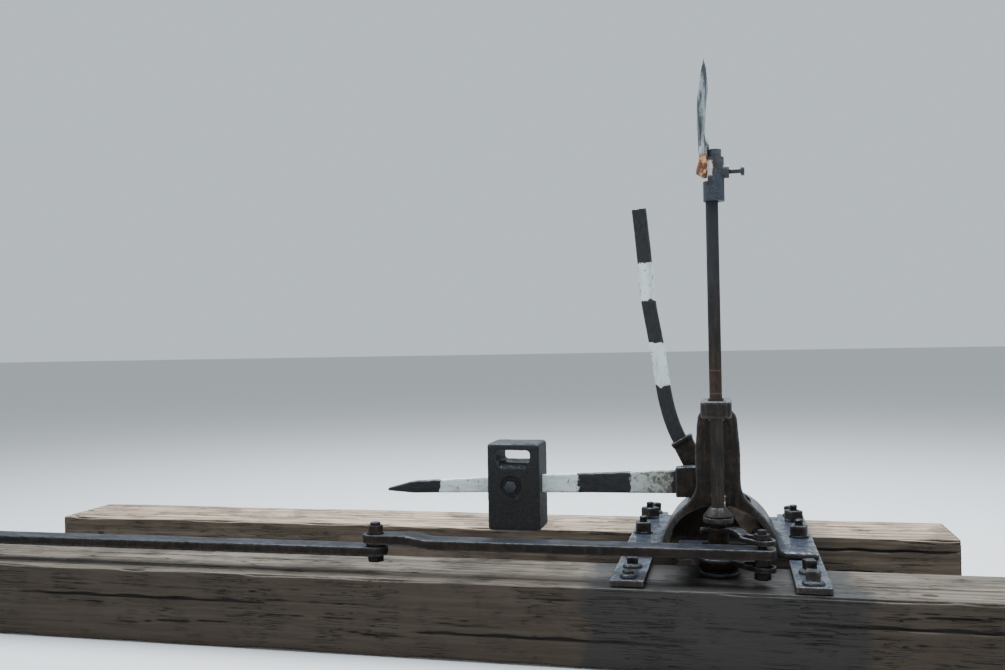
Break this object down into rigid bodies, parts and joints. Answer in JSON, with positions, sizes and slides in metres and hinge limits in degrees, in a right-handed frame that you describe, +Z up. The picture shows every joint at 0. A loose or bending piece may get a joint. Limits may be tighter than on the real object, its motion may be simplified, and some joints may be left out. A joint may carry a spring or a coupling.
{
  "type": "railway switch stand",
  "caption": "Hand-operated switch stand on two timbers, with throw lever, weighted balance lever, drive bar and turning flag shaft.",
  "frame": {"origin": "on the ground, under the middle of the pair of timbers", "axes": "+X along the timbers away from the points, +Y along the track away from the front, +Z up"},
  "size_m": [2.81, 0.882, 1.363],
  "materials": {
    "timber": "weathered, tar-stained sawn timber",
    "plate_steel": "black paint, worn and wet-looking",
    "black_casting": "black paint over rough cast iron",
    "weight_casting": "black paint over cast iron, chipped",
    "black_steel": "black paint over forged steel",
    "shaft_steel": "black paint with rust showing through",
    "socket_steel": "blue-black paint",
    "striped_handle": "black and off-white painted bands, chipped",
    "striped_balance": "black and off-white painted bands, dirty near the hub",
    "board_wood": "grey split wood, rotten and brown at the foot"
  },
  "bodies": {
    "stand": {"timber_front": "timber", "timber_back": "timber", "plate_left": "plate_steel", "plate_right": "plate_steel", "stand_casting": "black_casting", "axle": "black_steel", "foot_bearing": "black_casting"},
    "lever": {"lever_arm": "black_casting", "lever_pin": "black_steel", "handle_bar": "striped_handle"},
    "balance": {"balance_arm": "black_casting", "balance_bar": "striped_balance", "counterweight": "weight_casting", "set_bolt": "black_steel"},
    "drive": {"drive_bar": "black_steel", "drive_yoke": "black_steel", "crank_bolt": "black_steel", "crank_nut": "black_steel", "joint_bolt": "black_steel", "joint_nut": "black_steel", "joint_spacer": "black_steel", "point_rod": "black_steel"},
    "flag": {"flag_shaft": "shaft_steel", "shaft_skirt": "shaft_steel", "flag_crank": "black_steel", "flag_socket": "socket_steel", "signal_board": "board_wood", "clamp_screw": "socket_steel"}
  },
  "joints": [
    {"name": "lever_throw", "type": "hinge", "parent": "stand", "child": "lever", "pos_m": [0.685, -0.022, 0.37], "axis": [0, 1, 0], "range_deg": [0, 60]},
    {"name": "drive_slide", "type": "slide", "parent": "stand", "child": "drive", "axis": [-1, 0, 0], "range_m": [0, 0.186]},
    {"name": "flag_turn", "type": "hinge", "parent": "stand", "child": "flag", "pos_m": [0.685, -0.27, 0.18], "axis": [0, 0, 1], "range_deg": [-90, 0]},
    {"name": "balance_throw", "type": "hinge", "parent": "stand", "child": "balance", "pos_m": [0.685, -0.106, 0.37], "axis": [0, 1, 0], "range_deg": [0, 184]}
  ],
  "couplings": [
    {"joint": "drive_slide", "follows": "lever_throw", "m_per_rad": 0.17761},
    {"joint": "flag_turn", "follows": "lever_throw", "ratio": -1.5}
  ]
}
